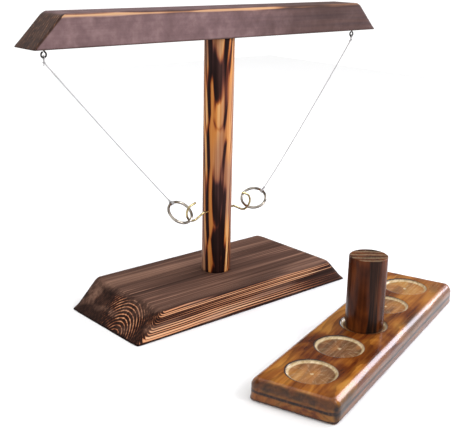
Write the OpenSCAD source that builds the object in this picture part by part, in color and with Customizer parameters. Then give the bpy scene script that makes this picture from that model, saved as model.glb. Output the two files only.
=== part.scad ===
// Ring toss set: a table-top stand with two rings on strings and two hooks,
// and a separate shot ladder board with its marker peg.
// Millimetres, +Z up. The origin is the centre of the base's underside.
// +X runs along the base and the cross beam, -Y is the side that the players' ladder lies on.

/* [Base] */
// Length of the base along its underside
base_length = 304; // [260:2:320]
// Width of the base
base_width = 122; // [100:2:140]
// Thickness of the base
base_height = 30; // [26:1:36]
// Radius of the base's long top edges
base_edge = 3.5; // [2:0.5:5]

/* [Post] */
// Diameter of the round post
post_diameter = 32; // [30:1:36]
// Length of the post between base and beam
post_height = 256; // [250:1:262]

/* [Beam] */
// Length of the cross beam along its underside
beam_length = 452; // [430:2:480]
// Width of the cross beam
beam_width = 40; // [36:1:46]
// Height of the cross beam
beam_height = 31; // [28:1:36]
// Radius of the beam's long top edges
beam_edge = 3; // [2:0.5:5]

/* [Hooks] */
// Height of the hook's shank above the table
hook_height = 100.5; // [98:0.5:103]
// Thickness of the hook's wire
hook_wire = 2.4; // [2:0.1:2.4]

/* [Rings] */
// Outer diameter of a ring
ring_outer = 30; // [29.8:0.1:30.2]
// Thickness of the ring's wire
ring_wire = 2.8; // [2.4:0.1:2.8]

/* [Ladder] */
// Length of the ladder board
ladder_length = 320; // [300:2:340]
// Width of the ladder board
ladder_width = 84; // [76:1:96]
// Thickness of the ladder board
ladder_height = 22; // [18:1:26]
// Diameter of the round recesses
recess_diameter = 46; // [40:1:50]
// Depth of the round recesses
recess_depth = 2.5; // [2:0.5:6]
// Distance between the centres of neighbouring recesses
recess_pitch = 60; // [54:1:64]

/* [Peg] */
// Diameter of the marker peg
peg_diameter = 38; // [32:1:40]
// Height of the marker peg
peg_height = 74.5; // [60:0.5:90]

/* [Hidden] */
$fn = 64;

// Heights of the stand's joints above the table
post_foot = base_height;
beam_foot = base_height + post_height;

// Fasteners inside the stand
bolt_radius = 3;
bolt_head_radius = 6.5;
bolt_head_height = 4;
bolt_counterbore = 6;
bolt_grip = 12;
insert_radius = 5;
insert_length = 16;
stud_grip = 16;

// Screw hooks: both stand a little in front of the post's centre line
hook_y = -4;
hook_bend = 9;
hook_centre_x = 36.4;
hook_centre_z = 103;
hook_open_angle = 72;
hook_neck_angle = -118;
hook_tip_length = 6.5;
hook_shank_x = 22;
hook_thread_length = 11;
hook_point = 3;
hook_tip_round = 0.7;
hook_bend_steps = 24;
hook_sides = 16;

// Screw eyes under the beam
eye_x = 206;
eye_z = 280;
eye_wire = 1.6;
eye_bend = 2.6;
eye_thread_length = 11;
loop_cord = 1.2;
loop_bend = 1.6;

// Rings: each tie point is where its string is lashed round the ring, and the pose is
// [turn about Z, tilt about Y, place of the tie point on the circle]
ring_bend = (ring_outer - ring_wire) / 2;
left_tie = [-54.4, 10.7, 113.2];
left_pose = [-88, 41, -165];
right_tie = [62.4, -5.6, 111.4];
right_pose = [-139, 38, 141];
lashing_cord = 0.8;
lashing_angle = 14;

// Strings: each hangs from a knot just under its eye and ends in a knot just off its ring,
// with a little slack between the two
cord_diameter = 1.3;
cord_sides = 8;
knot_radius = 1.6;
left_route = [
    [-206, 0, 273], [-196, 0.7, 262.2], [-186, 1.4, 251.4], [-176, 2.1, 240.7],
    [-166, 2.8, 230], [-156, 3.5, 219.3], [-146, 4.2, 208.6], [-136, 4.9, 198.1],
    [-126, 5.6, 187.5], [-116, 6.4, 177.1], [-106, 7.1, 166.6], [-96, 7.8, 156.2],
    [-86, 8.5, 145.9], [-76, 9.2, 135.5], [-66, 9.9, 125.2], [-57.5, 10.5, 116.4]
];
right_route = [
    [206, 0, 273], [196, -0.4, 261], [186, -0.8, 249.2], [176, -1.2, 237.4],
    [166, -1.6, 225.8], [156, -2, 214.2], [146, -2.3, 202.7], [136, -2.7, 191.2],
    [126, -3.1, 179.8], [116, -3.5, 168.6], [106, -3.9, 157.4], [96, -4.3, 146.4],
    [86, -4.7, 135.5], [76, -5.1, 125.2], [70, -5.3, 119.3], [65.4, -5.5, 114.7]
];

// Ladder board on the table beside the stand
ladder_x = 28;
ladder_y = -194;
ladder_yaw = 18.5;
ladder_edge = 4;
ladder_corner = 6;
pip_radius = 1.2;
pip_depth = 1.5;
recess_count = 5;
peg_chamfer = 1;

// ---- Shared shapes ----

// A rectangle with its two upper corners rounded, standing on the X axis
module rounded_top(width, height, edge) {
    translate([-width / 2, 0])
        square([width, height - edge]);
    translate([-width / 2 + edge, 0])
        square([width - 2 * edge, height]);
    for (side = [-1, 1])
        translate([side * (width / 2 - edge), height - edge])
            circle(r = edge);
}

// A rectangle with four rounded corners, centred
module rounded_plan(length, width, corner) {
    square([length - 2 * corner, width], center = true);
    square([length, width - 2 * corner], center = true);
    for (x = [-1, 1], y = [-1, 1])
        translate([x * (length / 2 - corner), y * (width / 2 - corner)])
            circle(r = corner);
}

// A board along X with ends that slope in at 45 degrees and rounded long top edges
module sloped_board(length, width, height, edge) {
    intersection() {
        rotate([90, 0, 0])
            linear_extrude(height = width + 2, center = true)
                polygon([
                    [-length / 2, 0], [length / 2, 0],
                    [length / 2 - height, height], [-length / 2 + height, height]
                ]);
        rotate([90, 0, 90])
            linear_extrude(height = length + 2, center = true)
                rounded_top(width, height, edge);
    }
}

// A mirror copy for the side at -X, or the shape itself for the side at +X
module on_side(side) {
    mirror([side < 0 ? 1 : 0, 0, 0])
        children();
}

// ---- Swept wires and cords ----

function unit(v) = v / norm(v);

// Direction of a route at one of its points
function route_tangent(route, i) =
    unit(route[min(i + 1, len(route) - 1)] - route[max(i - 1, 0)]);

// One ring of points round a route's point
function route_ring(route, i, radius, sides) =
    let (
        along = route_tangent(route, i),
        across = unit(cross(along, [0, 1, 0])),
        over = cross(across, along)
    )
    [for (k = [0:sides - 1])
        route[i] + radius * (cos(360 * k / sides) * across + sin(360 * k / sides) * over)];

// The band of faces between ring i and the next one
function route_band(i, sides) =
    [for (k = [0:sides - 1])
        let (next = (k + 1) % sides)
        [i * sides + k, i * sides + next, (i + 1) * sides + next, (i + 1) * sides + k]];

// One closed skin along a route, with a radius for each of its points
module swept_skin(route, radii, sides) {
    last = len(route) - 1;
    points = [for (i = [0:last]) each route_ring(route, i, radii[i], sides)];
    walls = [for (i = [0:last - 1]) each route_band(i, sides)];
    start_cap = [for (k = [sides - 1:-1:0]) k];
    end_cap = [for (k = [0:sides - 1]) last * sides + k];
    polyhedron(points = points, faces = concat(walls, [start_cap], [end_cap]));
}

// ---- Stand ----

module base_board() {
    color("saddlebrown")
        difference() {
            sloped_board(base_length, base_width, base_height, base_edge);
            translate([0, 0, -1])
                cylinder(r = bolt_radius + 0.3, h = base_height + 2);
            translate([0, 0, -1])
                cylinder(r = bolt_head_radius + 0.5, h = bolt_counterbore + 1);
        }
}

module post() {
    color("sienna")
        translate([0, 0, post_foot])
            difference() {
                cylinder(d = post_diameter, h = post_height);
                translate([0, 0, -1])
                    cylinder(r = insert_radius, h = insert_length + 1);
                translate([0, 0, post_height - stud_grip])
                    cylinder(r = bolt_radius, h = stud_grip + 1);
                for (side = [-1, 1])
                    translate([side * (post_diameter / 2 - hook_thread_length), hook_y, hook_height - post_foot])
                        rotate([0, side * 90, 0])
                            cylinder(d = hook_wire, h = post_diameter);
            }
}

module cross_beam() {
    color("rosybrown")
        translate([0, 0, beam_foot])
            difference() {
                sloped_board(beam_length, beam_width, beam_height, beam_edge);
                translate([0, 0, -1])
                    cylinder(r = insert_radius, h = insert_length + 1);
                for (side = [-1, 1])
                    translate([side * eye_x, 0, -1])
                        cylinder(d = eye_wire, h = eye_thread_length + 1);
            }
}

// Pan-head bolt that comes up through the base into the post
module base_bolt() {
    head_top = bolt_counterbore;
    color("silver")
        difference() {
            union() {
                translate([0, 0, head_top - bolt_head_height])
                    cylinder(r = bolt_head_radius, h = bolt_head_height);
                translate([0, 0, head_top - 1])
                    cylinder(r = bolt_radius - 0.05, h = base_height - head_top + bolt_grip + 1);
            }
            translate([0, 0, head_top - bolt_head_height - 1])
                cylinder(r = bolt_radius * 0.85, h = bolt_head_height * 0.8, $fn = 6);
        }
}

// Threaded sleeve in the post's foot
module base_insert() {
    color("goldenrod")
        translate([0, 0, post_foot])
            difference() {
                cylinder(r = insert_radius, h = insert_length - 1);
                translate([0, 0, -1])
                    cylinder(r = bolt_radius, h = insert_length + 1);
            }
}

// Threaded sleeve in the beam's underside
module beam_insert() {
    color("goldenrod")
        translate([0, 0, beam_foot])
            difference() {
                cylinder(r = insert_radius, h = insert_length);
                translate([0, 0, -1])
                    cylinder(r = bolt_radius, h = insert_length + 2);
            }
}

// Double-ended stud from the post's head up into the beam
module beam_stud() {
    color("silver")
        translate([0, 0, beam_foot - stud_grip])
            cylinder(r = bolt_radius - 0.05, h = stud_grip + insert_length - 1);
}

// ---- Hooks and eyes ----

// A point on the hook's round bend, in the hook's own plane
function bend_point(angle) =
    [hook_centre_x + hook_bend * cos(angle), 0, hook_centre_z + hook_bend * sin(angle)];

// The hook's wire from its point inside the post, round the bend, to its open tip
function hook_route() =
    let (
        thread_end = post_diameter / 2 - hook_thread_length,
        tip_run = [-sin(hook_open_angle), 0, cos(hook_open_angle)],
        bend_end = bend_point(hook_open_angle)
    )
    concat(
        [[thread_end, 0, hook_height], [thread_end + hook_point, 0, hook_height]],
        [[hook_shank_x - 1, 0, hook_height], [hook_shank_x, 0, hook_height - 0.25]],
        [for (i = [0:hook_bend_steps])
            bend_point(hook_neck_angle + i * (hook_open_angle - hook_neck_angle) / hook_bend_steps)],
        [bend_end + (hook_tip_length - hook_tip_round) * tip_run, bend_end + hook_tip_length * tip_run]
    );

module screw_hook(side) {
    route = hook_route();
    last = len(route) - 1;
    radii = [for (i = [0:last]) (i == 0 ? 0.3 : i == last ? 0.6 : 1) * hook_wire / 2];
    color("gold")
        on_side(side)
            translate([0, hook_y, 0])
                swept_skin(route, radii, hook_sides);
}

module screw_eye(side) {
    color("dimgray")
        translate([side * eye_x, 0, eye_z]) {
            rotate([90, 0, 0])
                rotate_extrude()
                    translate([eye_bend, 0])
                        circle(d = eye_wire);
            translate([0, 0, eye_bend])
                cylinder(d = eye_wire, h = beam_foot + eye_thread_length - eye_z - eye_bend);
        }
}

// The string's own loop, tied through the eye
module eye_loop(side) {
    color("white")
        translate([side * eye_x, 0, eye_z - eye_bend])
            rotate([0, 90, 0])
                rotate_extrude()
                    translate([loop_bend, 0])
                        circle(d = loop_cord);
}

module left_hook() { screw_hook(-1); }
module right_hook() { screw_hook(1); }
module left_eye() { screw_eye(-1); }
module right_eye() { screw_eye(1); }
module left_eye_loop() { eye_loop(-1); }
module right_eye_loop() { eye_loop(1); }

// ---- Strings and rings ----

// A ball-shaped knot
module knot(place) {
    color("white")
        translate(place)
            sphere(r = knot_radius);
}

module string(route) {
    color("white")
        swept_skin(route, [for (place = route) cord_diameter / 2], cord_sides);
}

// Puts the ring's own frame in place, with its circle through the tie point
module ring_frame(tie, pose) {
    translate(tie)
        rotate([0, pose[1], pose[0]])
            rotate([0, 0, pose[2]])
                translate([-ring_bend, 0, 0])
                    children();
}

module toss_ring(tie, pose) {
    color("lightgray")
        ring_frame(tie, pose)
            rotate_extrude()
                translate([ring_bend, 0])
                    circle(d = ring_wire);
}

// The end of the string wrapped round the ring
module lashing(tie, pose) {
    color("white")
        ring_frame(tie, pose)
            rotate([0, 0, -lashing_angle / 2])
                rotate_extrude(angle = lashing_angle)
                    translate([ring_bend, 0])
                        difference() {
                            circle(d = ring_wire + 2 * lashing_cord);
                            circle(d = ring_wire);
                        }
}

module left_top_knot() { knot(left_route[0]); }
module left_string() { string(left_route); }
module left_bottom_knot() { knot(left_route[len(left_route) - 1]); }
module right_top_knot() { knot(right_route[0]); }
module right_string() { string(right_route); }
module right_bottom_knot() { knot(right_route[len(right_route) - 1]); }
module left_ring() { toss_ring(left_tie, left_pose); }
module left_lashing() { lashing(left_tie, left_pose); }
module right_ring() { toss_ring(right_tie, right_pose); }
module right_lashing() { lashing(right_tie, right_pose); }

// ---- Ladder ----

// Places its children on the ladder's centre line, at the given distance along it
module on_ladder(along) {
    translate([ladder_x, ladder_y, 0])
        rotate([0, 0, ladder_yaw])
            translate([along, 0, 0])
                children();
}

// The ladder's board before it is bored: all the upper edges and the corners are rounded
module rounded_board(length, width, height, edge, corner) {
    intersection() {
        rotate([90, 0, 0])
            linear_extrude(height = width + 2, center = true)
                rounded_top(length, height, edge);
        rotate([90, 0, 90])
            linear_extrude(height = length + 2, center = true)
                rounded_top(width, height, edge);
        linear_extrude(height = height)
            rounded_plan(length, width, corner);
    }
}

module ladder_board() {
    floor_z = ladder_height - recess_depth;
    color("peru")
        difference() {
            on_ladder(0)
                rounded_board(ladder_length, ladder_width, ladder_height, ladder_edge, ladder_corner);
            for (i = [0:recess_count - 1])
                on_ladder((i - (recess_count - 1) / 2) * recess_pitch) {
                    translate([0, 0, floor_z])
                        cylinder(d = recess_diameter, h = recess_depth + 1);
                    translate([0, 0, floor_z - pip_depth])
                        cylinder(r = pip_radius, h = pip_depth + 1);
                }
        }
}

module marker_peg() {
    radius = peg_diameter / 2;
    color("tan")
        on_ladder(0)
            translate([0, 0, ladder_height - recess_depth])
                rotate_extrude()
                    polygon([
                        [0, 0], [radius - peg_chamfer, 0], [radius, peg_chamfer],
                        [radius, peg_height - peg_chamfer], [radius - peg_chamfer, peg_height], [0, peg_height]
                    ]);
}

base_board();
post();
cross_beam();
base_bolt();
base_insert();
beam_stud();
beam_insert();
left_hook();
right_hook();
left_eye();
right_eye();
left_eye_loop();
right_eye_loop();
left_top_knot();
left_string();
left_bottom_knot();
right_top_knot();
right_string();
right_bottom_knot();
left_ring();
left_lashing();
right_ring();
right_lashing();
ladder_board();
marker_peg();
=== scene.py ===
"""The looks of the ring toss set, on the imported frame.

Metres, +Z up, in the row frame. MM turns the millimetres that the parts are drawn in into metres.
"""

import math

import bpy
import numpy as np
from mathutils import Matrix, Vector, noise


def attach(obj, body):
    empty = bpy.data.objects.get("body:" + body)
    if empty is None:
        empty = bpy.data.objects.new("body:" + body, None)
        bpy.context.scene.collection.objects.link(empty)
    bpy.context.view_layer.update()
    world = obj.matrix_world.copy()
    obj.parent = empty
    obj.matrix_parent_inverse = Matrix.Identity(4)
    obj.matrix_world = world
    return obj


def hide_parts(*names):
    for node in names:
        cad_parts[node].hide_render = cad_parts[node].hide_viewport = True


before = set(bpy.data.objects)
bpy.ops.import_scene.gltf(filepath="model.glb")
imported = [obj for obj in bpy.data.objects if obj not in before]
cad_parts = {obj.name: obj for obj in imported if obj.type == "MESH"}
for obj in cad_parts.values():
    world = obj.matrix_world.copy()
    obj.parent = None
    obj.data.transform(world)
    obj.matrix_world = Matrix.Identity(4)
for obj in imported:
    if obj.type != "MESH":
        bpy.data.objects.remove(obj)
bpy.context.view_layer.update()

MM = 0.001
TAU = 2 * math.pi


# ---- Sizes that the pieces share, in millimetres ----

BASE = {"length": 304, "width": 122, "height": 30, "foot": 0}
BEAM = {"length": 452, "width": 40, "height": 31, "foot": 286}
POST_RADIUS = 16
POST_FOOT, POST_HEAD = 30, 286
LADDER = {"length": 320, "width": 84, "height": 22, "foot": 0}
LADDER_PLACE = (28, -194)
LADDER_YAW = math.radians(18.5)
RECESS_RADIUS, RECESS_DEPTH, RECESS_PITCH, RECESS_COUNT = 23, 2.5, 60, 5
PEG_RADIUS, PEG_HEIGHT = 19, 74.5
BOLT_WAY_RADIUS, BOLT_HEAD_WAY_RADIUS, BOLT_HEAD_WAY_DEPTH = 3.3, 7, 6
# The hook's bend lies in an upright plane. Angles are in degrees from +X, round the bend's centre
HOOK = {
    "x": 36.4, "y": -4, "z": 103, "bend": 9, "wire": 1.2, "neck": -118, "opening": 72,
    "shank_z": 100.5, "shank_end": 21, "root": 5, "tip": 6.5,
}
# Wires are given by their radius, and cords by their diameter
EYE_X, EYE_Z, EYE_BEND, EYE_WIRE = 206, 280, 2.6, 0.8
RING_BEND, RING_WIRE = 13.6, 1.5
CORD_DIAMETER, KNOT_CORD, LASHING_CORD = 1.3, 1.0, 0.8
LOOP_BEND, LOOP_TAIL_Z = 1.6, 273.4

ROUTES = {
    "left": [
        (-206, 0, 273), (-196, 0.7, 262.2), (-186, 1.4, 251.4), (-176, 2.1, 240.7),
        (-166, 2.8, 230), (-156, 3.5, 219.3), (-146, 4.2, 208.6), (-136, 4.9, 198.1),
        (-126, 5.6, 187.5), (-116, 6.4, 177.1), (-106, 7.1, 166.6), (-96, 7.8, 156.2),
        (-86, 8.5, 145.9), (-76, 9.2, 135.5), (-66, 9.9, 125.2), (-57.5, 10.5, 116.4),
    ],
    "right": [
        (206, 0, 273), (196, -0.4, 261), (186, -0.8, 249.2), (176, -1.2, 237.4),
        (166, -1.6, 225.8), (156, -2, 214.2), (146, -2.3, 202.7), (136, -2.7, 191.2),
        (126, -3.1, 179.8), (116, -3.5, 168.6), (106, -3.9, 157.4), (96, -4.3, 146.4),
        (86, -4.7, 135.5), (76, -5.1, 125.2), (70, -5.3, 119.3), (65.4, -5.5, 114.7),
    ],
}
# Where each string is lashed to its ring, and the ring's pose: turn about Z, tilt about Y,
# place of the lashing on the circle, in degrees
RING_POSES = {
    "left": ((-54.4, 10.7, 113.2), (-88, 41, -165)),
    "right": ((62.4, -5.6, 111.4), (-139, 38, 141)),
}
SIDES = {"left": -1, "right": 1}


# ---- Camera ----

CAMERA_PLACE = Vector((-0.5937, -0.6950, 0.3711))
CAMERA_YAW, CAMERA_PITCH, CAMERA_ROLL = (math.radians(a) for a in (41.12, 17.30, 1.13))
CAMERA_LENS = 69.0


def make_camera():
    forward = Vector((
        math.sin(CAMERA_YAW) * math.cos(CAMERA_PITCH),
        math.cos(CAMERA_YAW) * math.cos(CAMERA_PITCH),
        -math.sin(CAMERA_PITCH),
    ))
    level = Vector((math.cos(CAMERA_YAW), -math.sin(CAMERA_YAW), 0))
    upright = level.cross(forward)
    right = math.cos(CAMERA_ROLL) * level + math.sin(CAMERA_ROLL) * upright
    up = math.cos(CAMERA_ROLL) * upright - math.sin(CAMERA_ROLL) * level
    data = bpy.data.cameras.new("camera")
    data.sensor_width = 36
    data.lens = CAMERA_LENS
    data.clip_start = 0.01
    camera = bpy.data.objects.new("camera", data)
    turn = Matrix((right, up, -forward)).transposed()
    camera.matrix_world = Matrix.Translation(CAMERA_PLACE) @ turn.to_4x4()
    bpy.context.collection.objects.link(camera)
    bpy.context.scene.camera = camera


make_camera()


# ---- Meshes ----

def new_object(name, vertices, faces):
    """A smooth-shaded object from points in millimetres."""
    mesh = bpy.data.meshes.new(name)
    mesh.from_pydata((np.asarray(vertices) * MM).tolist(), [], faces)
    mesh.validate()
    mesh.shade_smooth()
    made = bpy.data.objects.new(name, mesh)
    bpy.context.collection.objects.link(made)
    return made


def loft_faces(count, sides, closed=False):
    """Quads between rings of points, and a face over each end unless the rings run in a circle."""
    faces = []
    for i in range(count if closed else count - 1):
        here, there = i * sides, ((i + 1) % count) * sides
        for k in range(sides):
            nxt = (k + 1) % sides
            faces.append((here + k, here + nxt, there + nxt, there + k))
    if not closed:
        faces.append(tuple(range(sides - 1, -1, -1)))
        faces.append(tuple(range((count - 1) * sides, count * sides)))
    return faces


def loft(name, rings, closed=False):
    """An object skinned over an array of rings: count x sides x 3."""
    count, sides, _ = rings.shape
    return new_object(name, rings.reshape(-1, 3), loft_faces(count, sides, closed))


def frames_along(path):
    """Two directions across a path at each of its points, carried along without twist."""
    along = np.gradient(path, axis=0)
    along /= np.linalg.norm(along, axis=1, keepdims=True)
    start = np.array((0.0, 1.0, 0.0)) if abs(along[0][1]) < 0.8 else np.array((1.0, 0.0, 0.0))
    across = [start]
    for direction in along:
        step = across[-1] - direction * across[-1].dot(direction)
        across.append(step / np.linalg.norm(step))
    across = np.array(across[1:])
    return across, np.cross(along, across)


def tube(name, path, radii):
    """A tube along a path, with radii as points x sides."""
    path = np.asarray(path, dtype=float)
    sides = radii.shape[1]
    across, over = frames_along(path)
    angles = np.arange(sides) * TAU / sides
    spokes = (
        across[:, None, :] * np.cos(angles)[None, :, None]
        + over[:, None, :] * np.sin(angles)[None, :, None]
    )
    return loft(name, path[:, None, :] + spokes * radii[:, :, None])


def smooth_path(points, step):
    """A Catmull-Rom curve through the points, with samples about a step apart."""
    points = [np.array(p, dtype=float) for p in points]
    padded = [2 * points[0] - points[1]] + points + [2 * points[-1] - points[-2]]
    samples = []
    for a, b, c, d in zip(padded, padded[1:], padded[2:], padded[3:]):
        count = max(2, round(np.linalg.norm(c - b) / step))
        for i in range(count):
            t = i / count
            samples.append(0.5 * (
                2 * b + (c - a) * t + (2 * a - 5 * b + 4 * c - d) * t ** 2
                + (3 * b - a - 3 * c + d) * t ** 3
            ))
    samples.append(points[-1])
    return np.array(samples)


def distances_along(path):
    """How far along a path each of its points is."""
    steps = np.linalg.norm(np.diff(path, axis=0), axis=1)
    return np.concatenate(([0], np.cumsum(steps)))


def round_ends(path, radius):
    """A factor for each point that closes a tube's two ends into round tips."""
    run = distances_along(path)
    reach = np.minimum(run, run[-1] - run) / radius
    return np.sqrt(np.clip(1 - (1 - np.clip(reach, 0, 1)) ** 2, 0.02, 1))


def wave(p, scale, seed):
    """Smooth noise from about -1 to 1 at a point, with a scale per axis."""
    return noise.noise((p[0] * scale[0] + seed, p[1] * scale[1] - seed, p[2] * scale[2] + 2 * seed))


def bell(value, middle, width):
    """1 at the middle, falling away on both sides."""
    return math.exp(-((value - middle) / width) ** 2)


def smooth_step(value, low, high):
    """Rises from 0 at low to 1 at high, with level ends."""
    t = min(max((value - low) / (high - low), 0), 1)
    return t * t * (3 - 2 * t)


def vertex_rows(piece):
    """Places in millimetres and outward directions of a piece's vertices."""
    mesh = piece.data
    places = np.empty(len(mesh.vertices) * 3)
    normals = np.empty(len(mesh.vertices) * 3)
    mesh.vertices.foreach_get("co", places)
    mesh.vertices.foreach_get("normal", normals)
    return places.reshape(-1, 3) / MM, normals.reshape(-1, 3)


def write_attribute(piece, name, values):
    layer = piece.data.attributes.new(name, "FLOAT", "POINT")
    layer.data.foreach_set("value", np.asarray(values, dtype=np.float32))


def grow_wood(piece, rings_at, char_and_shade_at, tone_at, relief):
    """Gives a piece its growth rings, its scorching with painted shade added in, and brushed relief.

    rings_at counts growth rings from the pith to a place, the second function says how deeply the place is
    scorched, with painted shade added on some pieces, and tone_at how ashen, and relief is the depth in
    millimetres brushed out between rings.
    """
    places, normals = vertex_rows(piece)
    rings = np.array([rings_at(p) for p in places])
    char_and_shade = np.array([char_and_shade_at(p, n) for p, n in zip(places, normals)])
    tone = np.array([tone_at(p, n) for p, n in zip(places, normals)])
    depth = np.array([relief(p, n) for p, n in zip(places, normals)])
    hollow = 0.5 - 0.5 * np.cos(TAU * rings)
    places -= normals * (hollow * depth)[:, None]
    piece.data.vertices.foreach_set("co", (places * MM).ravel())
    piece.data.update()
    write_attribute(piece, "rings", rings)
    write_attribute(piece, "char_and_shade", char_and_shade)
    write_attribute(piece, "tone", tone)


# ---- Boards ----

def rounded_outline(width, height, top_edge, foot_edge, step, planed):
    """Points round a board's section in Y and Z, anticlockwise.

    planed is how far the top edges are flattened from a round towards a straight chamfer.
    """
    corners = [
        (width / 2 - foot_edge, foot_edge, foot_edge, -90),
        (width / 2 - top_edge, height - top_edge, top_edge, 0),
        (top_edge - width / 2, height - top_edge, top_edge, 90),
        (foot_edge - width / 2, foot_edge, foot_edge, 180),
    ]
    points = []
    for y, z, radius, start in corners:
        count = max(3, math.ceil(radius * math.pi / 2 / step))
        flat = planed if start in (0, 90) else 0
        for i in range(count + 1):
            angle = math.radians(start + 90 * i / count)
            middle = math.radians(start + 45)
            reach = radius * (1 - flat + flat * math.cos(math.radians(45)) / math.cos(angle - middle))
            points.append((y + reach * math.cos(angle), z + reach * math.sin(angle)))
    outline = []
    for here, there in zip(points, points[1:] + points[:1]):
        count = max(1, round(math.dist(here, there) / step))
        for i in range(count):
            outline.append([a + (b - a) * i / count for a, b in zip(here, there)])
    return np.array(outline)


END_TURN_COUNT = 8


def board_rings(size, edges, ends, slope, step, station_step, cap_count, planed=0.0):
    """Rings of points of a board along X, whose ends are closed by cap_count rings each.

    edges are the radii of the long top and foot edges. ends are the radii where an end turns into
    the sides, the top and the foot. slope is how far the top is shorter than the foot at each end,
    for each millimetre of height.
    """
    outline = rounded_outline(size["width"], size["height"], *edges, step, planed)
    half_width, half_height = size["width"] / 2, size["height"] / 2
    side_share = np.abs(outline[:, 0]) / half_width
    rise = (outline[:, 1] - half_height) / half_height
    side_weight = np.clip((side_share - 0.8) / 0.2, 0, 1) ** 2
    end_radius = np.where(rise > 0, ends[1], ends[2]) * (1 - side_weight) + ends[0] * side_weight
    foot_weight = np.clip((-rise - 0.6) / 0.4, 0, 1)
    end_radius = end_radius * (1 - foot_weight) + np.minimum(end_radius, ends[2] + 1) * foot_weight

    half = size["length"] / 2
    longest = max(ends)

    def shrunk_outline(inset):
        """The outline's Y and Z when it has turned in by a share of the end radii."""
        y = outline[:, 0] * (half_width - ends[0] * inset) / half_width
        z = half_height + rise * (half_height - np.where(rise > 0, ends[1], ends[2]) * inset)
        return y, z

    def end_rings(sign):
        """The turn into an end, then the rings that close it, from the outside to the middle."""
        made = []
        for i in range(1, END_TURN_COUNT + 1):
            angle = math.radians(90 * i / END_TURN_COUNT)
            y, z = shrunk_outline(1 - math.cos(angle))
            made.append((sign * (half - end_radius * (1 - math.sin(angle))), y, z))
        x, y, z = made[-1]
        for i in range(1, cap_count + 1):
            share = 1 - i / (cap_count + 0.5)
            made.append((x, y * share, half_height + (z - half_height) * share))
        return made

    station_count = max(2, round(2 * (half - longest) / station_step))
    body = [
        (np.full(len(outline), (-1 + 2 * i / station_count) * (half - longest)), *outline.T)
        for i in range(station_count + 1)
    ]
    return np.array([
        np.stack((x * (1 - slope * z / half), y, z + size["foot"]), axis=1)
        for x, y, z in end_rings(-1)[::-1] + body + end_rings(1)
    ])


def cut(piece, cutter):
    """Takes the cutter's shape out of the piece, and removes the cutter."""
    modifier = piece.modifiers.new("cut", "BOOLEAN")
    modifier.operation = "DIFFERENCE"
    modifier.solver = "EXACT"
    modifier.object = cutter
    apply_modifiers(piece)
    bpy.data.objects.remove(cutter)


def apply_modifiers(piece):
    bpy.context.view_layer.update()
    evaluated = piece.evaluated_get(bpy.context.evaluated_depsgraph_get())
    mesh = bpy.data.meshes.new_from_object(evaluated)
    piece.modifiers.clear()
    piece.data = mesh
    mesh.shade_smooth()


def turned(name, profile, centre, sides=64):
    """A turned shape from (radius, height) points, standing at a centre."""
    angles = np.arange(sides) * TAU / sides
    rings = np.array([
        np.stack((centre[0] + r * np.cos(angles), centre[1] + r * np.sin(angles),
                  np.full(sides, centre[2] + z)), axis=1)
        for r, z in profile
    ])
    return loft(name, rings)


# ---- Materials ----

def srgb(code):
    """A linear colour from a hex code."""
    parts = [int(code[i:i + 2], 16) / 255 for i in (1, 3, 5)]
    return tuple(c / 12.92 if c <= 0.04045 else ((c + 0.055) / 1.055) ** 2.4 for c in parts) + (1,)


class NodeTree:
    """Short calls to build nodes. A value given to one is a number, a colour or a socket."""

    def __init__(self, tree):
        self.tree = tree

    def add(self, kind, **settings):
        node = self.tree.nodes.new(kind)
        for key, value in settings.items():
            setattr(node, key, value)
        return node

    def join(self, source, target):
        if isinstance(source, bpy.types.NodeSocket):
            self.tree.links.new(source, target)
        else:
            target.default_value = source

    def math(self, operation, first, second=0.0):
        node = self.add("ShaderNodeMath", operation=operation)
        self.join(first, node.inputs[0])
        self.join(second, node.inputs[1])
        return node.outputs[0]

    def between(self, value, low, high, to_low=0.0, to_high=1.0):
        node = self.add("ShaderNodeMapRange", interpolation_type="SMOOTHSTEP")
        for socket, given in zip(node.inputs, (value, low, high, to_low, to_high)):
            self.join(given, socket)
        return node.outputs[0]

    def plus(self, first, second):
        return self.math("ADD", first, second)

    def minus(self, first, second):
        return self.math("SUBTRACT", first, second)

    def times(self, first, second):
        return self.math("MULTIPLY", first, second)


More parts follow.
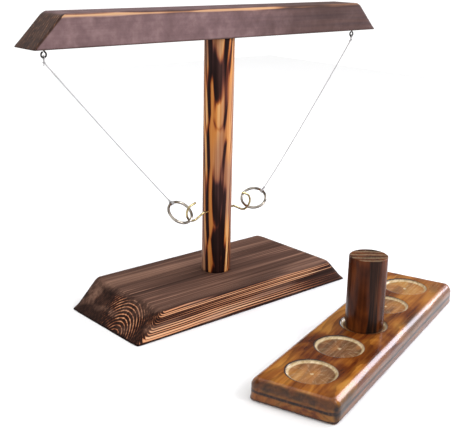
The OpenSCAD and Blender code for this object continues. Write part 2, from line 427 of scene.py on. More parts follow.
class MaterialNodes(NodeTree):
    """The nodes of a new material, round its shader."""

    def __init__(self, name):
        self.material = bpy.data.materials.new(name)
        self.material.use_nodes = True
        super().__init__(self.material.node_tree)
        self.shader = self.tree.nodes["Principled BSDF"]
        self.place = self.add("ShaderNodeTexCoord").outputs["Object"]

    def attribute(self, name):
        return self.add("ShaderNodeAttribute", attribute_name=name).outputs["Fac"]

    def stretched(self, scale):
        node = self.add("ShaderNodeMapping")
        self.join(self.place, node.inputs["Vector"])
        node.inputs["Scale"].default_value = scale
        return node.outputs["Vector"]

    def noise(self, scale, detail=4.0, roughness=0.55, distortion=0.0):
        node = self.add("ShaderNodeTexNoise")
        self.join(self.stretched(scale), node.inputs["Vector"])
        node.inputs["Scale"].default_value = 1.0
        node.inputs["Detail"].default_value = detail
        node.inputs["Roughness"].default_value = roughness
        node.inputs["Distortion"].default_value = distortion
        return node.outputs["Fac"]

    def strayed(self, value, drift, amount, middle=0.5):
        """A value moved up where the drift is over its middle, and down where it is under."""
        return self.plus(value, self.times(self.minus(drift, middle), amount))

    def ramp(self, value, stops):
        node = self.add("ShaderNodeValToRGB")
        self.join(value, node.inputs["Fac"])
        elements = node.color_ramp.elements
        while len(elements) > 1:
            elements.remove(elements[-1])
        elements[0].position, elements[0].color = stops[0][0], srgb(stops[0][1])
        for place, code in stops[1:]:
            elements.new(place).color = srgb(code)
        return node.outputs["Color"]

    def mix(self, share, first, second):
        node = self.add("ShaderNodeMix", data_type="RGBA")
        self.join(share, node.inputs[0])
        self.join(first, node.inputs[6])
        self.join(second, node.inputs[7])
        return node.outputs[2]

    def bump(self, height, strength, distance, under=None):
        node = self.add("ShaderNodeBump")
        node.inputs["Strength"].default_value = strength
        node.inputs["Distance"].default_value = distance
        self.join(height, node.inputs["Height"])
        if under is not None:
            self.join(under, node.inputs["Normal"])
        return node.outputs["Normal"]

    def finish(self, colour, roughness, normal, **constants):
        """Joins the shader, whose other inputs are named with _ for a space."""
        self.join(colour, self.shader.inputs["Base Color"])
        self.join(roughness, self.shader.inputs["Roughness"])
        self.join(normal, self.shader.inputs["Normal"])
        for name, value in constants.items():
            self.shader.inputs[name.replace("_", " ")].default_value = value
        return self.material


def torched_wood(name, fibre, palette, gloss, coat, band_width, mottle=0.0):
    """Scorched and brushed softwood.

    fibre is the noise scale per axis, small along the grain. palette holds a ramp from scorched
    to clean wood and a ramp for ashen wood. band_width is how softly the scorched and the clean
    wood meet, mottle is the share of clouds that don't follow the grain, and gloss is the
    roughness of scorched and of clean wood.
    """
    n = MaterialNodes(name)
    fine = n.noise(fibre, 3.0, 0.6)
    drift = n.noise(tuple(s * 0.12 + 1 for s in fibre), 3.0, 0.5, 0.4)
    patches = n.noise(tuple(s * 0.035 + 6 for s in fibre), 3.0, 0.5)
    clouds = n.noise((75, 75, 75), 4.0, 0.6)
    within = n.math("FRACT", n.strayed(n.attribute("rings"), drift, 0.35))
    peak = n.minus(1.0, n.math("ABSOLUTE", n.minus(n.times(within, 2.0), 1.0)))
    rough_peak = n.strayed(peak, fine, 0.7)
    # The char attribute also carries painted shade along the foot edges of the base and the beam, which
    # comes out dark here.
    char_and_shade = n.strayed(n.attribute("char_and_shade"), patches, 0.7)
    clean = n.between(rough_peak, n.minus(char_and_shade, band_width), n.plus(char_and_shade, band_width))
    grain = n.plus(n.times(fine, 0.5), n.times(drift, 0.5))
    burn = n.strayed(n.times(clean, 0.6), grain, 0.7, 0.3)
    ash = n.plus(n.times(grain, 1 - mottle), n.times(clouds, mottle))
    ash = n.plus(ash, n.times(clean, 0.2))
    burn_colour, ash_colour = n.ramp(burn, palette["burn"]), n.ramp(ash, palette["ashen"])
    colour = n.mix(n.attribute("tone"), burn_colour, ash_colour)
    roughness = n.between(n.plus(clean, n.times(fine, 0.4)), 0.0, 1.4, *gloss)
    normal = n.bump(peak, 0.35, 0.0004)
    normal = n.bump(fine, 0.45, 0.00025, normal)
    return n.finish(
        colour, roughness, normal, Coat_Weight=coat, Coat_Roughness=0.3, Specular_IOR_Level=0.06,
    )


BASE_PALETTE = {
    "burn": [
        (0.04, "#0b0504"), (0.22, "#28120c"), (0.4, "#5c2d1a"),
        (0.58, "#a5613d"), (0.76, "#dda277"), (0.92, "#f7d8ae"),
    ],
    "ashen": [(0.25, "#22140f"), (0.48, "#5c4136"), (0.72, "#a07a66")],
}
BEAM_PALETTE = {
    "burn": [(0.04, "#22140c"), (0.2, "#4a3020"), (0.4, "#6e4a32"), (0.62, "#b07b50"), (0.8, "#e8bb88")],
    "ashen": [(0.3, "#5f494a"), (0.5, "#725a5b"), (0.7, "#8b7171")],
}
POST_PALETTE = {
    "burn": [
        (0.03, "#060202"), (0.2, "#200a05"), (0.4, "#62260d"),
        (0.58, "#a65a24"), (0.73, "#c98039"), (0.88, "#efc789"),
    ],
    "ashen": [(0.25, "#100808"), (0.5, "#3a2423"), (0.75, "#87615a")],
}


def lacquered_acacia(name, fibre, seed, wood_ramp, coat):
    """Glossy acacia with clouded colour, torched patches, painted shade in the scorched colour, and paler
    fresh cuts.
    """
    n = MaterialNodes(name)
    fine = n.noise(fibre, 4.0, 0.6)
    clouds = n.noise(tuple(s * 0.05 + 12 for s in fibre), 3.0, 0.5, 1.2)
    rings = n.strayed(n.attribute("rings"), clouds, 1.6)
    line = n.between(n.math("FRACT", n.plus(rings, seed)), 0.45, 0.97)
    tint = n.plus(n.times(fine, 0.22), n.times(clouds, 0.78))
    wood = n.mix(n.times(line, 0.35), n.ramp(tint, wood_ramp), srgb("#341808"))
    # The scorched colour serves both the torched patches and the painted shade on the ladder and the peg.
    scorched = n.ramp(fine, [(0.3, "#0d0604"), (0.5, "#26140d"), (0.7, "#4a2a18")])
    char_and_shade = n.strayed(n.attribute("char_and_shade"), clouds, 1.3)
    burnt_and_shaded = n.between(n.plus(char_and_shade, n.times(fine, 0.25)), 0.45, 1.2)
    fresh = n.ramp(fine, [(0.3, "#b0915f"), (0.7, "#ecd8b2")])
    colour = n.mix(n.attribute("tone"), n.mix(burnt_and_shaded, wood, scorched), fresh)
    roughness = n.between(n.plus(burnt_and_shaded, n.times(fine, 0.5)), 0.0, 1.5, 0.2, 0.4)
    normal = n.bump(line, 0.2, 0.0003)
    normal = n.bump(fine, 0.3, 0.0002, normal)
    return n.finish(
        colour, roughness, normal, Coat_Weight=coat, Coat_Roughness=0.2, Specular_IOR_Level=0.08,
    )


LADDER_RAMP = [(0.3, "#321507"), (0.42, "#622e0f"), (0.54, "#92561f"), (0.66, "#b97d33"), (0.8, "#d6a656")]
PEG_RAMP = [(0.32, "#230c04"), (0.46, "#48200b"), (0.58, "#663212"), (0.7, "#80481d")]


def worn_metal(name, clean, dull, *gloss):
    """Drawn wire with fine scratches and duller patches. gloss is the roughness of each."""
    n = MaterialNodes(name)
    patches = n.noise((160, 160, 160), 4.0)
    scratches = n.noise((900, 2600, 2600), 3.0, 0.6)
    colour = n.mix(n.between(patches, 0.42, 0.72), srgb(clean), srgb(dull))
    roughness = n.between(n.plus(patches, n.times(scratches, 0.5)), 0.4, 1.0, *gloss)
    return n.finish(colour, roughness, n.bump(scratches, 0.12, 0.00005), Metallic=1.0)


def cotton(name):
    """White twisted cotton with loose fibres and a little grime."""
    n = MaterialNodes(name)
    fibres = n.noise((2500, 2500, 5200), 4.0, 0.65)
    grime = n.noise((90, 90, 90), 3.0)
    colour = n.ramp(fibres, [(0.3, "#949296"), (0.6, "#bfbdbd"), (0.8, "#dedcda")])
    colour = n.mix(n.between(grime, 0.5, 0.8, 0.0, 0.4), colour, srgb("#6b675f"))
    roughness = n.between(fibres, 0.2, 0.8, 0.7, 0.95)
    return n.finish(colour, roughness, n.bump(fibres, 0.5, 0.00012), Sheen_Weight=0.3)


MATERIALS = {
    "base": torched_wood("torched_base", (4, 340, 340), BASE_PALETTE, (0.62, 0.45), 0.0, 0.28),
    "beam": torched_wood("torched_beam", (5, 260, 260), BEAM_PALETTE, (0.5, 0.4), 0.05, 0.3, 0.65),
    "post": torched_wood("torched_post", (480, 480, 5), POST_PALETTE, (0.5, 0.36), 0.03, 0.42),
    "ladder": lacquered_acacia("lacquered_ladder", (14, 420, 420), 0.0, LADDER_RAMP, 0.5),
    "peg": lacquered_acacia("lacquered_peg", (480, 480, 12), 0.4, PEG_RAMP, 0.08),
    "brass": worn_metal("brass_wire", "#bcab80", "#6f5d3a", 0.07, 0.2),
    "nickel": worn_metal("nickel_wire", "#aba398", "#575048", 0.05, 0.16),
    "dark": worn_metal("blackened_steel", "#3c3a38", "#211f1e", 0.25, 0.5),
    "zinc": worn_metal("zinc_steel", "#b9bcbe", "#84888a", 0.25, 0.5),
    "insert": worn_metal("insert_brass", "#c9a45c", "#8a6b35", 0.25, 0.5),
    "cotton": cotton("cotton"),
}


def finish_piece(piece, material, body, slot, *nodes):
    """Gives a piece its material and its body, and hides the CAD nodes that it stands for."""
    piece.data.materials.clear()
    piece.data.materials.append(MATERIALS[material])
    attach(piece, body)
    if nodes:
        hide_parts(*nodes)
    return piece


# ---- Strings, knots and lashings ----

PLIES = 3


def twisted(name, path, diameter, pitch, sides):
    """A laid cord: one skin whose section has a lobe for each ply."""
    run = distances_along(path)
    angles = np.arange(sides) * TAU / sides
    lobes = np.abs(np.cos((angles[None, :] - TAU * run[:, None] / pitch) * PLIES / 2))
    radii = diameter / 2 * (0.86 + 0.14 * lobes)
    return tube(name, path, radii * round_ends(path, diameter / 2)[:, None])


def coil(centre, axis, radius, turns, length, step=0.16):
    """A helix round an axis through its centre."""
    axis = np.array(axis, dtype=float) / np.linalg.norm(axis)
    side = np.cross(axis, (0.0, 1.0, 0.0))
    side /= np.linalg.norm(side)
    other = np.cross(axis, side)
    count = round(turns * TAU * radius / step)
    points = []
    for i in range(count + 1):
        share = i / count
        angle = TAU * turns * share
        points.append(
            np.array(centre) + axis * length * (share - 0.5)
            + radius * (side * math.cos(angle) + other * math.sin(angle))
        )
    return points


def knot_path(centre, axis, fall):
    """Close turns round the string, ending in a short tail that leans the way it falls."""
    points = coil(centre, axis, radius=0.75, turns=2.6, length=1.8)
    end = points[-1]
    outward = end - np.array(centre)
    outward /= np.linalg.norm(outward)
    for reach in (0.7, 1.4, 2.1, 2.8):
        points.append(end + outward * reach * 0.55 + np.array(fall) * reach * 0.35)
    return smooth_path(points[:-1:3] + [points[-1]], 0.2)


def ring_matrix(tie, pose):
    """From the ring's own frame, with its circle round the origin, to the row frame, in millimetres."""
    turn, tilt, place = (math.radians(a) for a in pose)
    return (
        Matrix.Translation(tie) @ Matrix.Rotation(turn, 4, "Z") @ Matrix.Rotation(tilt, 4, "Y")
        @ Matrix.Rotation(place, 4, "Z") @ Matrix.Translation((-RING_BEND, 0, 0))
    )


def around_wire(matrix, along, wind, lift):
    """A place round the ring's wire: angles along the ring and about its wire, and the radius."""
    reach = RING_BEND + lift * math.cos(wind)
    return matrix @ Vector((reach * math.cos(along), reach * math.sin(along), lift * math.sin(wind)))


def lashing_path(matrix):
    """Turns of thin cord wound round the ring's wire."""
    turns, spread = 4, math.radians(14)
    shares = np.linspace(0, 1, 30 * turns + 1)
    lift = RING_WIRE + LASHING_CORD / 2
    return np.array([
        around_wire(matrix, spread * (share - 0.5), TAU * turns * share, lift) for share in shares
    ])


def eye_loop_path(side):
    """The string's own loop: round the foot of the eye and down into the knot."""
    foot_z = EYE_Z - EYE_BEND
    points = []
    for i in range(25):
        angle = math.radians(-62 + 304 * i / 24)
        points.append((side * EYE_X, LOOP_BEND * math.cos(angle), foot_z + LOOP_BEND * math.sin(angle)))
    tail = (side * EYE_X, 0, LOOP_TAIL_Z)
    return smooth_path([tail] + points + [tail], 0.2)


def make_strings(name):
    """A string with its two knots, the loop that it hangs from and the lashing on its ring."""
    def string_piece(part, path, diameter, *nodes):
        piece = twisted(f"{name}_cord_{part}", path, diameter, pitch=3.4, sides=18)
        return finish_piece(piece, "cotton", f"{name}_cord", "cord", *nodes)

    def thin_piece(part, path, diameter, pitch, body, node):
        piece = twisted(f"{name}_{part}", path, diameter, pitch, sides=12)
        return finish_piece(piece, "cotton", body, "cord", f"{name}_{node}")

    own_body = f"{name}_cord"
    route = ROUTES[name]
    start, end = route[0], np.array(route[-1])
    path = smooth_path(route, 0.34)
    string = string_piece("line", path, CORD_DIAMETER, f"{name}_string")
    top_turns = knot_path(start, path[4] - path[0], (0, 0, -1))
    top = thin_piece("cord_top_knot", top_turns, KNOT_CORD, 2.4, own_body, "top_knot")

    tie, pose = RING_POSES[name]
    leaving = np.array(tie) - end
    leaving /= np.linalg.norm(leaving)
    bottom_turns = knot_path(end, leaving, (0, -0.4, -0.9))
    bottom = thin_piece("cord_bottom_knot", bottom_turns, KNOT_CORD, 2.4, own_body, "bottom_knot")
    leader_path = smooth_path([end, end + leaving * 1.4, np.array(tie) - leaving * 2.2], 0.2)
    leader = string_piece("leader", leader_path, CORD_DIAMETER)

    thin_piece("cord_eye_loop", eye_loop_path(SIDES[name]), KNOT_CORD, 2.4, "stand", "eye_loop")
    wound = lashing_path(ring_matrix(tie, pose))
    thin_piece("ring_lashing", wound, LASHING_CORD, 2.0, f"{name}_toss", "lashing")


for string_name in ROUTES:
    make_strings(string_name)


# ---- Hooks, rings and eyes ----

def hook_path(side):
    """The hook's wire: shank, neck, round bend and open tip."""
    def on_bend(degrees):
        angle = math.radians(degrees)
        return (HOOK["x"] + HOOK["bend"] * math.cos(angle), 0, HOOK["z"] + HOOK["bend"] * math.sin(angle))

    shank_end, shank_z = HOOK["shank_end"], HOOK["shank_z"]
    points = [(x, 0, shank_z) for x in np.arange(HOOK["root"], shank_end, 0.5)]
    neck = [(shank_end, 0, shank_z), (shank_end + 1, 0, shank_z - 0.25), on_bend(HOOK["neck"])]
    points += [tuple(p) for p in smooth_path(neck, 0.4)][:-1]
    points += [on_bend(degrees) for degrees in np.linspace(HOOK["neck"], HOOK["opening"], 97)]
    end = points[-1]
    opening = math.radians(HOOK["opening"])
    for reach in np.linspace(0.3, HOOK["tip"], 24):
        points.append((end[0] - reach * math.sin(opening), 0, end[2] + reach * math.cos(opening)))
    return np.array([(side * x, y + HOOK["y"], z) for x, y, z in points])


def make_hook(name):
    """The screw hook, whose root is threaded and ends in a point."""
    side = SIDES[name]
    path = hook_path(side)
    sides, pitch, thread_end = 24, 1.2, 18.4
    point = np.linspace(0.3, 1, 6)
    angles = np.arange(sides) * TAU / sides
    out = np.abs(path[:, 0])[:, None]
    radii = np.full((len(path), sides), float(HOOK["wire"]))
    threaded = np.clip((thread_end - out) / pitch, 0, 1)
    ridge = 0.5 + 0.5 * np.cos(TAU * out / pitch - side * angles[None, :])
    radii -= 0.2 * threaded * (1 - ridge)
    radii *= round_ends(path, 0.9)[:, None]
    radii[:len(point)] *= point[:, None]
    hook = tube(f"{name}_screw_hook", path, radii)
    finish_piece(hook, "brass", "stand", "brass_wire", f"{name}_hook")


def make_ring(name):
    """The ring of drawn wire, with the small bead of its butt weld."""
    matrix = ring_matrix(*RING_POSES[name])
    around, sides, weld_place = 160, 24, math.pi * 0.62
    rings = np.empty((around, sides, 3))
    for i in range(around):
        along = TAU * i / around
        wire = RING_WIRE + 0.09 * bell(along, weld_place, 0.045) - 0.12 * bell(along, weld_place, 0.02)
        for k in range(sides):
            rings[i, k] = around_wire(matrix, along, TAU * k / sides, wire)
    ring = loft(f"{name}_toss_ring", rings, closed=True)
    finish_piece(ring, "nickel", f"{name}_toss", "ring_metal", f"{name}_ring")


def make_eye(name):
    """A screw eye bent from one wire: threaded shank, then the ring, whose end meets the shank."""
    side = SIDES[name]
    shank = [(0, z) for z in np.arange(17, 4.4, -0.3)]
    lead = [tuple(p[:2]) for p in smooth_path([(0, 4.6, 0), (0.35, 3.6, 0), (1.3, 2.25, 0)], 0.2)]
    bend = [
        (EYE_BEND * math.cos(math.radians(a)), EYE_BEND * math.sin(math.radians(a)))
        for a in np.linspace(58, -258, 90)
    ]
    path = np.array([(side * EYE_X + x, 0, EYE_Z + z) for x, z in shank + lead + bend])
    sides, pitch = 20, 0.9
    angles = np.arange(sides) * TAU / sides
    height = path[:, 2][:, None]
    radii = np.full((len(path), sides), EYE_WIRE)
    threaded = np.clip((height - BEAM["foot"]) / 0.8, 0, 1)
    ridge = 0.5 + 0.5 * np.cos(TAU * height / pitch - angles[None, :])
    radii -= 0.14 * threaded * (1 - ridge)
    eye = tube(f"{name}_screw_eye", path, radii * round_ends(path, 0.7)[:, None])
    finish_piece(eye, "dark", "stand", "dark_steel", f"{name}_eye")


for part_name in SIDES:
    make_hook(part_name)
    make_ring(part_name)
    make_eye(part_name)


# ---- Stand ----

TIGHT_FROM, TIGHT_TO = 26, 48


def rings_about(pith, spacing, scale, wander, seed, tighten=0.0):
    """A count of growth rings out from a pith line along X at (y, z), which wanders a little.

    tighten is how much faster the rings follow each other for each millimetre from TIGHT_FROM to
    TIGHT_TO away from the pith.
    """
    def count(p):
        dy = p[1] - pith[0] + wander * wave(p, scale, seed)
        dz = p[2] - pith[1] + wander * wave(p, scale, seed + 31)
        reach = math.hypot(dy, dz) + 0.35 * wander * wave(p, tuple(4 * s for s in scale), seed + 5)
        late = min(max(reach - TIGHT_FROM, 0), TIGHT_TO - TIGHT_FROM)
        return reach / spacing + tighten * late * (late / 2 + max(reach - TIGHT_TO, 0))
    return count


def make_base():
    """The base board, sawn with its pith just under the foot, and bored for the bolt."""
    pith = (-20, -7)
    rings = board_rings(
        BASE, (3.5, 1.6), (9, 5, 1.6), slope=1, step=0.7, station_step=4.5, cap_count=44,
    )
    base = loft("base_board_torched", rings)
    bolt_way = [
        (BOLT_HEAD_WAY_RADIUS, -1), (BOLT_HEAD_WAY_RADIUS, BOLT_HEAD_WAY_DEPTH),
        (BOLT_WAY_RADIUS, BOLT_HEAD_WAY_DEPTH + 0.001), (BOLT_WAY_RADIUS, BASE["height"] + 1),
    ]
    cut(base, turned("bolt_way", bolt_way, (0, 0, 0)))

    growth = rings_about(pith, 3.1, (0.004, 0.02, 0.02), 1.9, 11, 0.006)

    def count(p):
        return growth(p) + 0.24 * p[2] * smooth_step(abs(p[1]), 48, 60)

    def char_and_shade(p, n):
        x, y, z = p
        top = smooth_step(n[2], 0.72, 0.97)
        year = noise.noise((0.62 * count(p), 0.004 * x, 4))
        end = smooth_step(abs(n[0]), 0.35, 0.6) * (1 - top)
        front = (1 - top) * (1 - end)
        band = 0.72 - 0.42 * bell(z, 25, 3.6) - 0.3 * bell(z, 5, 2.6)
        band += 0.22 * smooth_step(wave(p, (0.012, 0.05, 0.09), 3), 0.0, 0.5) + 0.2 * smooth_step(x, 60, 150)
        arcs = 0.88 + 0.4 * smooth_step(y, -12, 28) + 0.25 * wave(p, (0.02, 0.05, 0.05), 8)
        flame = 0.2 * smooth_step(wave(p, (0.011, 0.045, 0.05), 19), 0.2, 0.55)
        level = (1.15 - flame) * top + arcs * end + (band + 0.55 * year) * front
        # Painted shade: the foot edge, where the board meets the floor, is made nearly black.
        foot = 1 - smooth_step(z, 0.8, 2.2)
        return min(level + 0.9 * foot, 1.6)

    def tone(p, n):
        top = smooth_step(n[2], 0.7, 0.95)
        patch = smooth_step(wave(p, (0.01, 0.05, 0.05), 40), 0.1, 0.5)
        side = 0.1 + 0.5 * smooth_step(wave(p, (0.013, 0.05, 0.12), 52), 0.05, 0.45)
        # The foot edge gets no ash, which keeps the painted shade there dark.
        return (0.88 * top * (1 - 0.45 * patch) + side * (1 - top)) * smooth_step(p[2], 1, 3)

    def relief(p, n):
        top = smooth_step(n[2], 0.72, 0.97)
        far = smooth_step(math.hypot(p[1] - pith[0], p[2] - pith[1]), 40, 60)
        return (0.16 - 0.12 * max(top, far)) * smooth_step(p[2], 1.5, 3.5)

    grow_wood(base, count, char_and_shade, tone, relief)
    finish_piece(base, "base", "stand", "torched_pine", "base_board")


def make_beam():
    """The cross beam, ashen all over but for its brushed top edges and its sawn ends."""
    foot_z, top_z = BEAM["foot"], BEAM["foot"] + BEAM["height"]
    rings = board_rings(
        BEAM, (3, 1.6), (3.5, 4, 1.2), slope=1, step=0.8, station_step=6, cap_count=26,
    )
    beam = loft("cross_beam_torched", rings)

    def edge_at(p, n, below, width):
        return bell(p[2], top_z - below, width) * smooth_step(abs(n[1]), 0.15, 0.5)

    def char_and_shade(p, n):
        end = smooth_step(abs(n[0]), 0.35, 0.6)
        # The foot is the beam's underside edge, darkened as painted shade.
        foot = 1 - smooth_step(p[2], foot_z + 0.6, foot_z + 2.2)
        return 1.4 - 0.4 * end - 1.2 * edge_at(p, n, 2.5, 2.0) * (1 - end) + 0.5 * foot

    def tone(p, n):
        end = smooth_step(abs(n[0]), 0.35, 0.6)
        # Less ash on the underside edge, for the painted shade there.
        foot = 1 - smooth_step(p[2], foot_z + 0.4, foot_z + 2)
        dark = 0.65 * smooth_step(p[0], -40, 150)
        return (0.97 - dark) * (1 - 0.9 * end) * (1 - 0.7 * foot) * (1 - 0.8 * edge_at(p, n, 2, 1.6))

    growth = rings_about((-52, 320), 3.4, (0.005, 0.02, 0.02), 3, 5)
    grow_wood(beam, growth, char_and_shade, tone, lambda p, n: 0.06)
    finish_piece(beam, "beam", "stand", "torched_pine", "cross_beam")


# Level directions across the camera's view and away from it
VIEW_RIGHT = (math.cos(CAMERA_YAW), -math.sin(CAMERA_YAW))
VIEW_AWAY = (math.sin(CAMERA_YAW), math.cos(CAMERA_YAW))

# Marks down the post: middle and half width across the view in radii of the post, lowest and
# highest z, and depth, which is positive where it is scorched and negative where it is brushed clean
POST_MARKS = [
    (0.12, 0.36, 0, 126, 0.8),
    (0.08, 0.5, 128, 218, -0.6),
    (-0.15, 0.3, 222, 262, 0.7),
    (0.15, 0.24, 264, 320, -0.5),
    (0.5, 0.16, 236, 320, 0.6),
    (0.47, 0.1, 0, 236, 0.45),
    (0.72, 0.12, 0, 250, -0.7),
    (-0.42, 0.11, 0, 236, -0.75),
    (-0.61, 0.09, 0, 320, 0.6),
    (-0.78, 0.08, 0, 320, -0.35),
]


def make_post():
    """The round post, cut well off the pith, so that its flat grain faces the camera."""
    sides, step = 144, 2
    heights = np.arange(POST_FOOT, POST_HEAD + 0.1, step)
    angles = np.arange(sides) * TAU / sides
    rings = np.array([
        np.stack((POST_RADIUS * np.cos(angles), POST_RADIUS * np.sin(angles), np.full(sides, z)), axis=1)
        for z in heights
    ])
    post = loft("post_torched", rings)
    pith = [3 * right + 21 * away for right, away in zip(VIEW_RIGHT, VIEW_AWAY)]

    def count(p):
        dx = p[0] - pith[0] + 1.8 * wave(p, (0.03, 0.03, 0.011), 7)
        dy = p[1] - pith[1] + 1.8 * wave(p, (0.03, 0.03, 0.011), 57)
        taper = 0.05 * p[2]
        return (math.hypot(dx, dy) + taper + 0.9 * wave(p, (0.05, 0.05, 0.018), 90)) / 3.1

    def char_and_shade(p, n):
        across = (p[0] * VIEW_RIGHT[0] + p[1] * VIEW_RIGHT[1]) / POST_RADIUS
        z = p[2] + 14 * wave(p, (0.08, 0.08, 0.02), 66)
        level = 0.52 + 0.3 * wave(p, (0.06, 0.06, 0.014), 29)
        for middle, width, low, high, depth in POST_MARKS:
            run = smooth_step(z, low - 12, low + 12) * (1 - smooth_step(z, high - 12, high + 12))
            level += depth * bell(across, middle, width) * run
        return level

    def tone(p, n):
        return 0.15 + 0.5 * smooth_step(wave(p, (0.06, 0.06, 0.012), 77), -0.1, 0.4)

    grow_wood(post, count, char_and_shade, tone, lambda p, n: 0.12)
    finish_piece(post, "post", "stand", "post_pine", "post")


make_base()
make_beam()
make_post()


# ---- Ladder and peg ----

LADDER_MATRIX = (
    Matrix.Translation((LADDER_PLACE[0] * MM, LADDER_PLACE[1] * MM, 0))
    @ Matrix.Rotation(LADDER_YAW, 4, "Z")
)
RECESS_FLOOR = LADDER["height"] - RECESS_DEPTH
PIP_RADIUS = 1.2


def make_ladder():
    """The lacquered board with five turned recesses, built along its own X axis."""
    rings = board_rings(
        LADDER, (6.5, 2.6), (9, 7.5, 3), slope=0, step=1.2, station_step=5, cap_count=16, planed=0.55,
    )
    board = loft("ladder_board_lacquered", rings)
    top, floor, rim = LADDER["height"], RECESS_FLOOR, RECESS_RADIUS
    profile = [
        (PIP_RADIUS / 2, floor - 1.5), (PIP_RADIUS, floor - 1.1), (PIP_RADIUS, floor), (rim - 2, floor),
        (rim - 0.7, floor + 0.35), (rim - 0.1, floor + 1.1), (rim, top - 0.4),
        (rim + 0.6, top + 0.4), (rim + 0.6, top + 2),
    ]
    centres = [(i - (RECESS_COUNT - 1) / 2) * RECESS_PITCH for i in range(RECESS_COUNT)]
    for x in centres:
        cut(board, turned("recess", profile, (x, 0, 0), 96))
    modifier = board.modifiers.new("grain", "REMESH")
    modifier.mode = "VOXEL"
    modifier.voxel_size = 0.9 * MM
    apply_modifiers(board)

    def recess_reach(p):
        return min(math.hypot(p[0] - x, p[1]) for x in centres)

    def count(p):
        dy = p[1] + 18 + 16 * wave(p, (0.009, 0.014, 0.02), 13)
        dz = p[2] + 26 + 9 * wave(p, (0.008, 0.02, 0.02), 45)
        return (math.hypot(dy, dz) + 3 * wave(p, (0.02, 0.03, 0.03), 61)) / 6.5

    def char_and_shade(p, n):
        x, y, z = p
        side = smooth_step(abs(n[1]), 0.5, 0.95)
        end = smooth_step(abs(n[0]), 0.3, 0.8)
        level = 0.2 + 0.6 * smooth_step(wave(p, (0.014, 0.022, 0.02), 17), 0.0, 0.5) * (1 - max(side, end))
        level += 0.45 * side + end * (0.3 + 0.3 * smooth_step(z, 10, 15))
        # Painted shade: a dark line at mid-height round the sides and ends, standing for the shade in a
        # groove that is not modelled, and a darker foot edge where the board meets the floor.
        groove_shade = bell(z, 9.5 + 1.5 * wave(p, (0.01, 0.01, 0.01), 71), 1.1)
        level += max(side, end) * (0.8 * groove_shade + 0.6 * (1 - smooth_step(z, 0.8, 3.5)))
        outside = recess_reach(p) - RECESS_RADIUS
        # Painted shade: a dark line on the top just outside each recess, on its far side only.
        level += 1.1 * bell(outside, 0.7, 1.0) * smooth_step(y, -8, 8) * smooth_step(z, top - 2, top - 0.2)
        in_recess = smooth_step(-outside, 0.5, 2) * smooth_step(top - z, 0.6, 2)
        return level * (1 - 0.6 * in_recess) + 0.2 * in_recess

    def tone(p, n):
        inside = RECESS_RADIUS - recess_reach(p)
        depth = top - p[2]
        pale_rim = smooth_step(inside, -0.5, 0.3) * (1 - smooth_step(inside, 1.6, 3.2))
        pip = 1 - smooth_step(recess_reach(p), PIP_RADIUS, PIP_RADIUS + 1)
        angle = math.atan2(p[1], min((p[0] - x for x in centres), key=abs))
        spoke = (11 * math.cos(angle), 11 * math.sin(angle), 0.1 * inside + 3)
        scratch = smooth_step(noise.noise(spoke), 0.12, 0.5)
        in_floor = smooth_step(inside, 0, 1) * smooth_step(depth, 1, 2)
        level = 0.8 * pale_rim * smooth_step(depth, 0.3, 0.9) + 0.6 * pip * smooth_step(depth, 1, 2)
        return min(level + (0.12 + 0.16 * scratch) * in_floor, 1)

    grow_wood(board, count, char_and_shade, tone, lambda p, n: 0.1)
    board.matrix_world = LADDER_MATRIX
    finish_piece(board, "ladder", "ladder", "acacia", "ladder_board")


def make_peg():
    """The hand-cut peg: a round with faint flats, softened ends and rings right over its top."""
    sides, height = 128, PEG_HEIGHT
    angles = np.arange(sides) * TAU / sides
    flats = 1 - 0.014 * np.abs(np.cos(angles * 5.5 + 0.6)) ** 3
    foot_turn = np.linspace(0.2, math.pi / 2, 5)
    top_turn = np.linspace(0, math.pi / 2 - 0.05, 7)
    profile = [(share, 0.0) for share in np.linspace(0.03, 0.93, 12)]
    profile += [(1 - 0.05 * (1 - math.sin(a)), 1 - math.cos(a)) for a in foot_turn]
    profile += [(1, z) for z in np.linspace(2.4, height - 2.4, 44)]
    profile += [(1 - 0.06 * (1 - math.cos(a)), height - 1.2 * (1 - math.sin(a))) for a in top_turn]
    profile += [(share, height) for share in np.linspace(0.92, 0.03, 30)]
    rings = []
    for share, z in profile:
        reach = PEG_RADIUS * share * flats
        level = np.full(sides, RECESS_FLOOR + z)
        rings.append(np.stack((reach * np.cos(angles), reach * np.sin(angles), level), axis=1))
    peg = loft("marker_peg_lacquered", np.array(rings))

    turn = CAMERA_YAW + LADDER_YAW
    right, away = (math.cos(turn), -math.sin(turn)), (math.sin(turn), math.cos(turn))

    def count(p):
        return (p[0] * away[0] + p[1] * away[1] + 60 + 2.5 * wave(p, (0.05, 0.05, 0.012), 21)) / 8.5

    def char_and_shade(p, n):
        top = smooth_step(n[2], 0.6, 0.95)
        across = (p[0] * right[0] + p[1] * right[1]) / PEG_RADIUS + 0.08 * wave(p, (0.06, 0.06, 0.03), 33)
        waist = 0.14 + 0.3 * abs((p[2] - 55) / PEG_HEIGHT) ** 1.5
        figure = 1 - smooth_step(abs(across - 0.22), waist, waist + 0.1)
        # Painted shade: the peg darkens towards both of its flanks across the camera's view.
        edge = smooth_step(abs(across), 0.86, 0.97)
        return (0.35 + 0.75 * figure + 0.4 * edge) * (1 - 0.8 * top)

    def tone(p, n):
        top = smooth_step(n[2], 0.6, 0.95)
        stripe = smooth_step(math.sin(TAU * count(p)), 0.1, 0.8)
        return (0.03 + 0.2 * stripe) * top

    grow_wood(peg, count, char_and_shade, tone, lambda p, n: 0.07)
    peg.matrix_world = LADDER_MATRIX
    finish_piece(peg, "peg", "peg", "acacia", "marker_peg")


make_ladder()
make_peg()


# ---- Hidden fasteners keep their CAD shape ----

FASTENERS = {"base_bolt": "zinc", "beam_stud": "zinc", "base_insert": "insert", "beam_insert": "insert"}
for node_name, material_name in FASTENERS.items():
    for material_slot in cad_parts[node_name].material_slots:
        material_slot.material = MATERIALS[material_name]


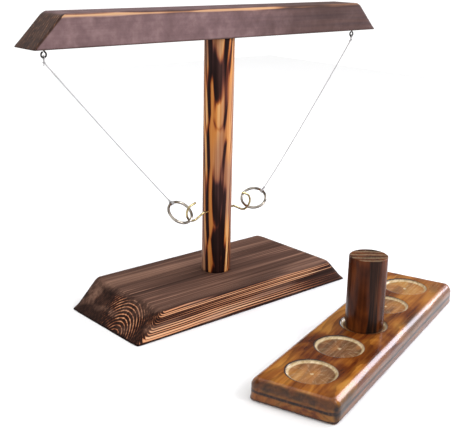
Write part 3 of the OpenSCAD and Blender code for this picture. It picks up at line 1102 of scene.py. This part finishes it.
# ---- Floor and light ----

def floor_material():
    n = MaterialNodes("studio_floor")
    mottle = n.noise((3, 3, 3), 3.0)
    colour = n.ramp(mottle, [(0.3, "#fbfbfb"), (0.7, "#fdfdfd")])
    return n.finish(colour, n.between(mottle, 0.2, 0.8, 0.75, 0.85), n.bump(mottle, 0.01, 0.0001))


def make_floor():
    half = 1700
    corners = [(-half, -half, 0), (half, -half, 0), (half, half, 0), (-half, half, 0)]
    floor = new_object("studio_floor", corners, [(0, 1, 2, 3)])
    floor.data.materials.append(floor_material())


def area_light(name, place, target, size, power, colour=(1, 1, 1)):
    data = bpy.data.lights.new(name, "AREA")
    data.shape = "RECTANGLE"
    data.size, data.size_y = size
    data.energy = power
    data.color = colour
    light = bpy.data.objects.new(name, data)
    light.location = place
    light.rotation_euler = (Vector(target) - Vector(place)).to_track_quat("-Z", "Y").to_euler()
    bpy.context.collection.objects.link(light)


WORLD_STRENGTH = 1.14
# Turn from the camera's heading and height above the horizon, in degrees
DIM_PATCHES = [(0, 27), (-90, 25), (90, 25)]
# Degrees from a patch's middle to its soft edge and to its even core, and the light left in the core
PATCH_EDGE, PATCH_CORE, PATCH_SHARE = 27, 13, 0.12


def make_world():
    """A white dome with dim patches above the horizon, which the tops and the bright wires mirror."""
    world = bpy.data.worlds.new("studio")
    world.use_nodes = True
    n = NodeTree(world.node_tree)
    place = n.add("ShaderNodeTexCoord").outputs["Generated"]
    edge, core = (math.cos(math.radians(a)) for a in (PATCH_EDGE, PATCH_CORE))
    strength = WORLD_STRENGTH
    for turn, height in DIM_PATCHES:
        heading, rise = CAMERA_YAW + math.radians(turn), math.radians(height)
        aim = n.add("ShaderNodeVectorMath", operation="DOT_PRODUCT")
        n.join(place, aim.inputs[0])
        aim.inputs[1].default_value = (
            math.sin(heading) * math.cos(rise), math.cos(heading) * math.cos(rise), math.sin(rise),
        )
        patch = n.between(aim.outputs["Value"], edge, core, 1.0, PATCH_SHARE)
        strength = n.times(patch, strength)
    background = n.tree.nodes["Background"]
    background.inputs["Color"].default_value = (1, 1, 1, 1)
    n.join(strength, background.inputs["Strength"])
    bpy.context.scene.world = world


def make_studio():
    make_world()
    middle = (0, -0.05, 0.15)
    area_light("key", (0.5, -1.5, 1.3), middle, (0.5, 0.5), 9)
    area_light("top", (0.1, 0.2, 1.9), middle, (1.2, 1.2), 3)
    area_light("edge", (1.32, -0.41, 0.64), (0.1, -0.2, 0.0), (0.6, 0.55), 14, (0.88, 0.88, 1))


make_floor()
make_studio()
bpy.context.scene.view_settings.view_transform = "Standard"
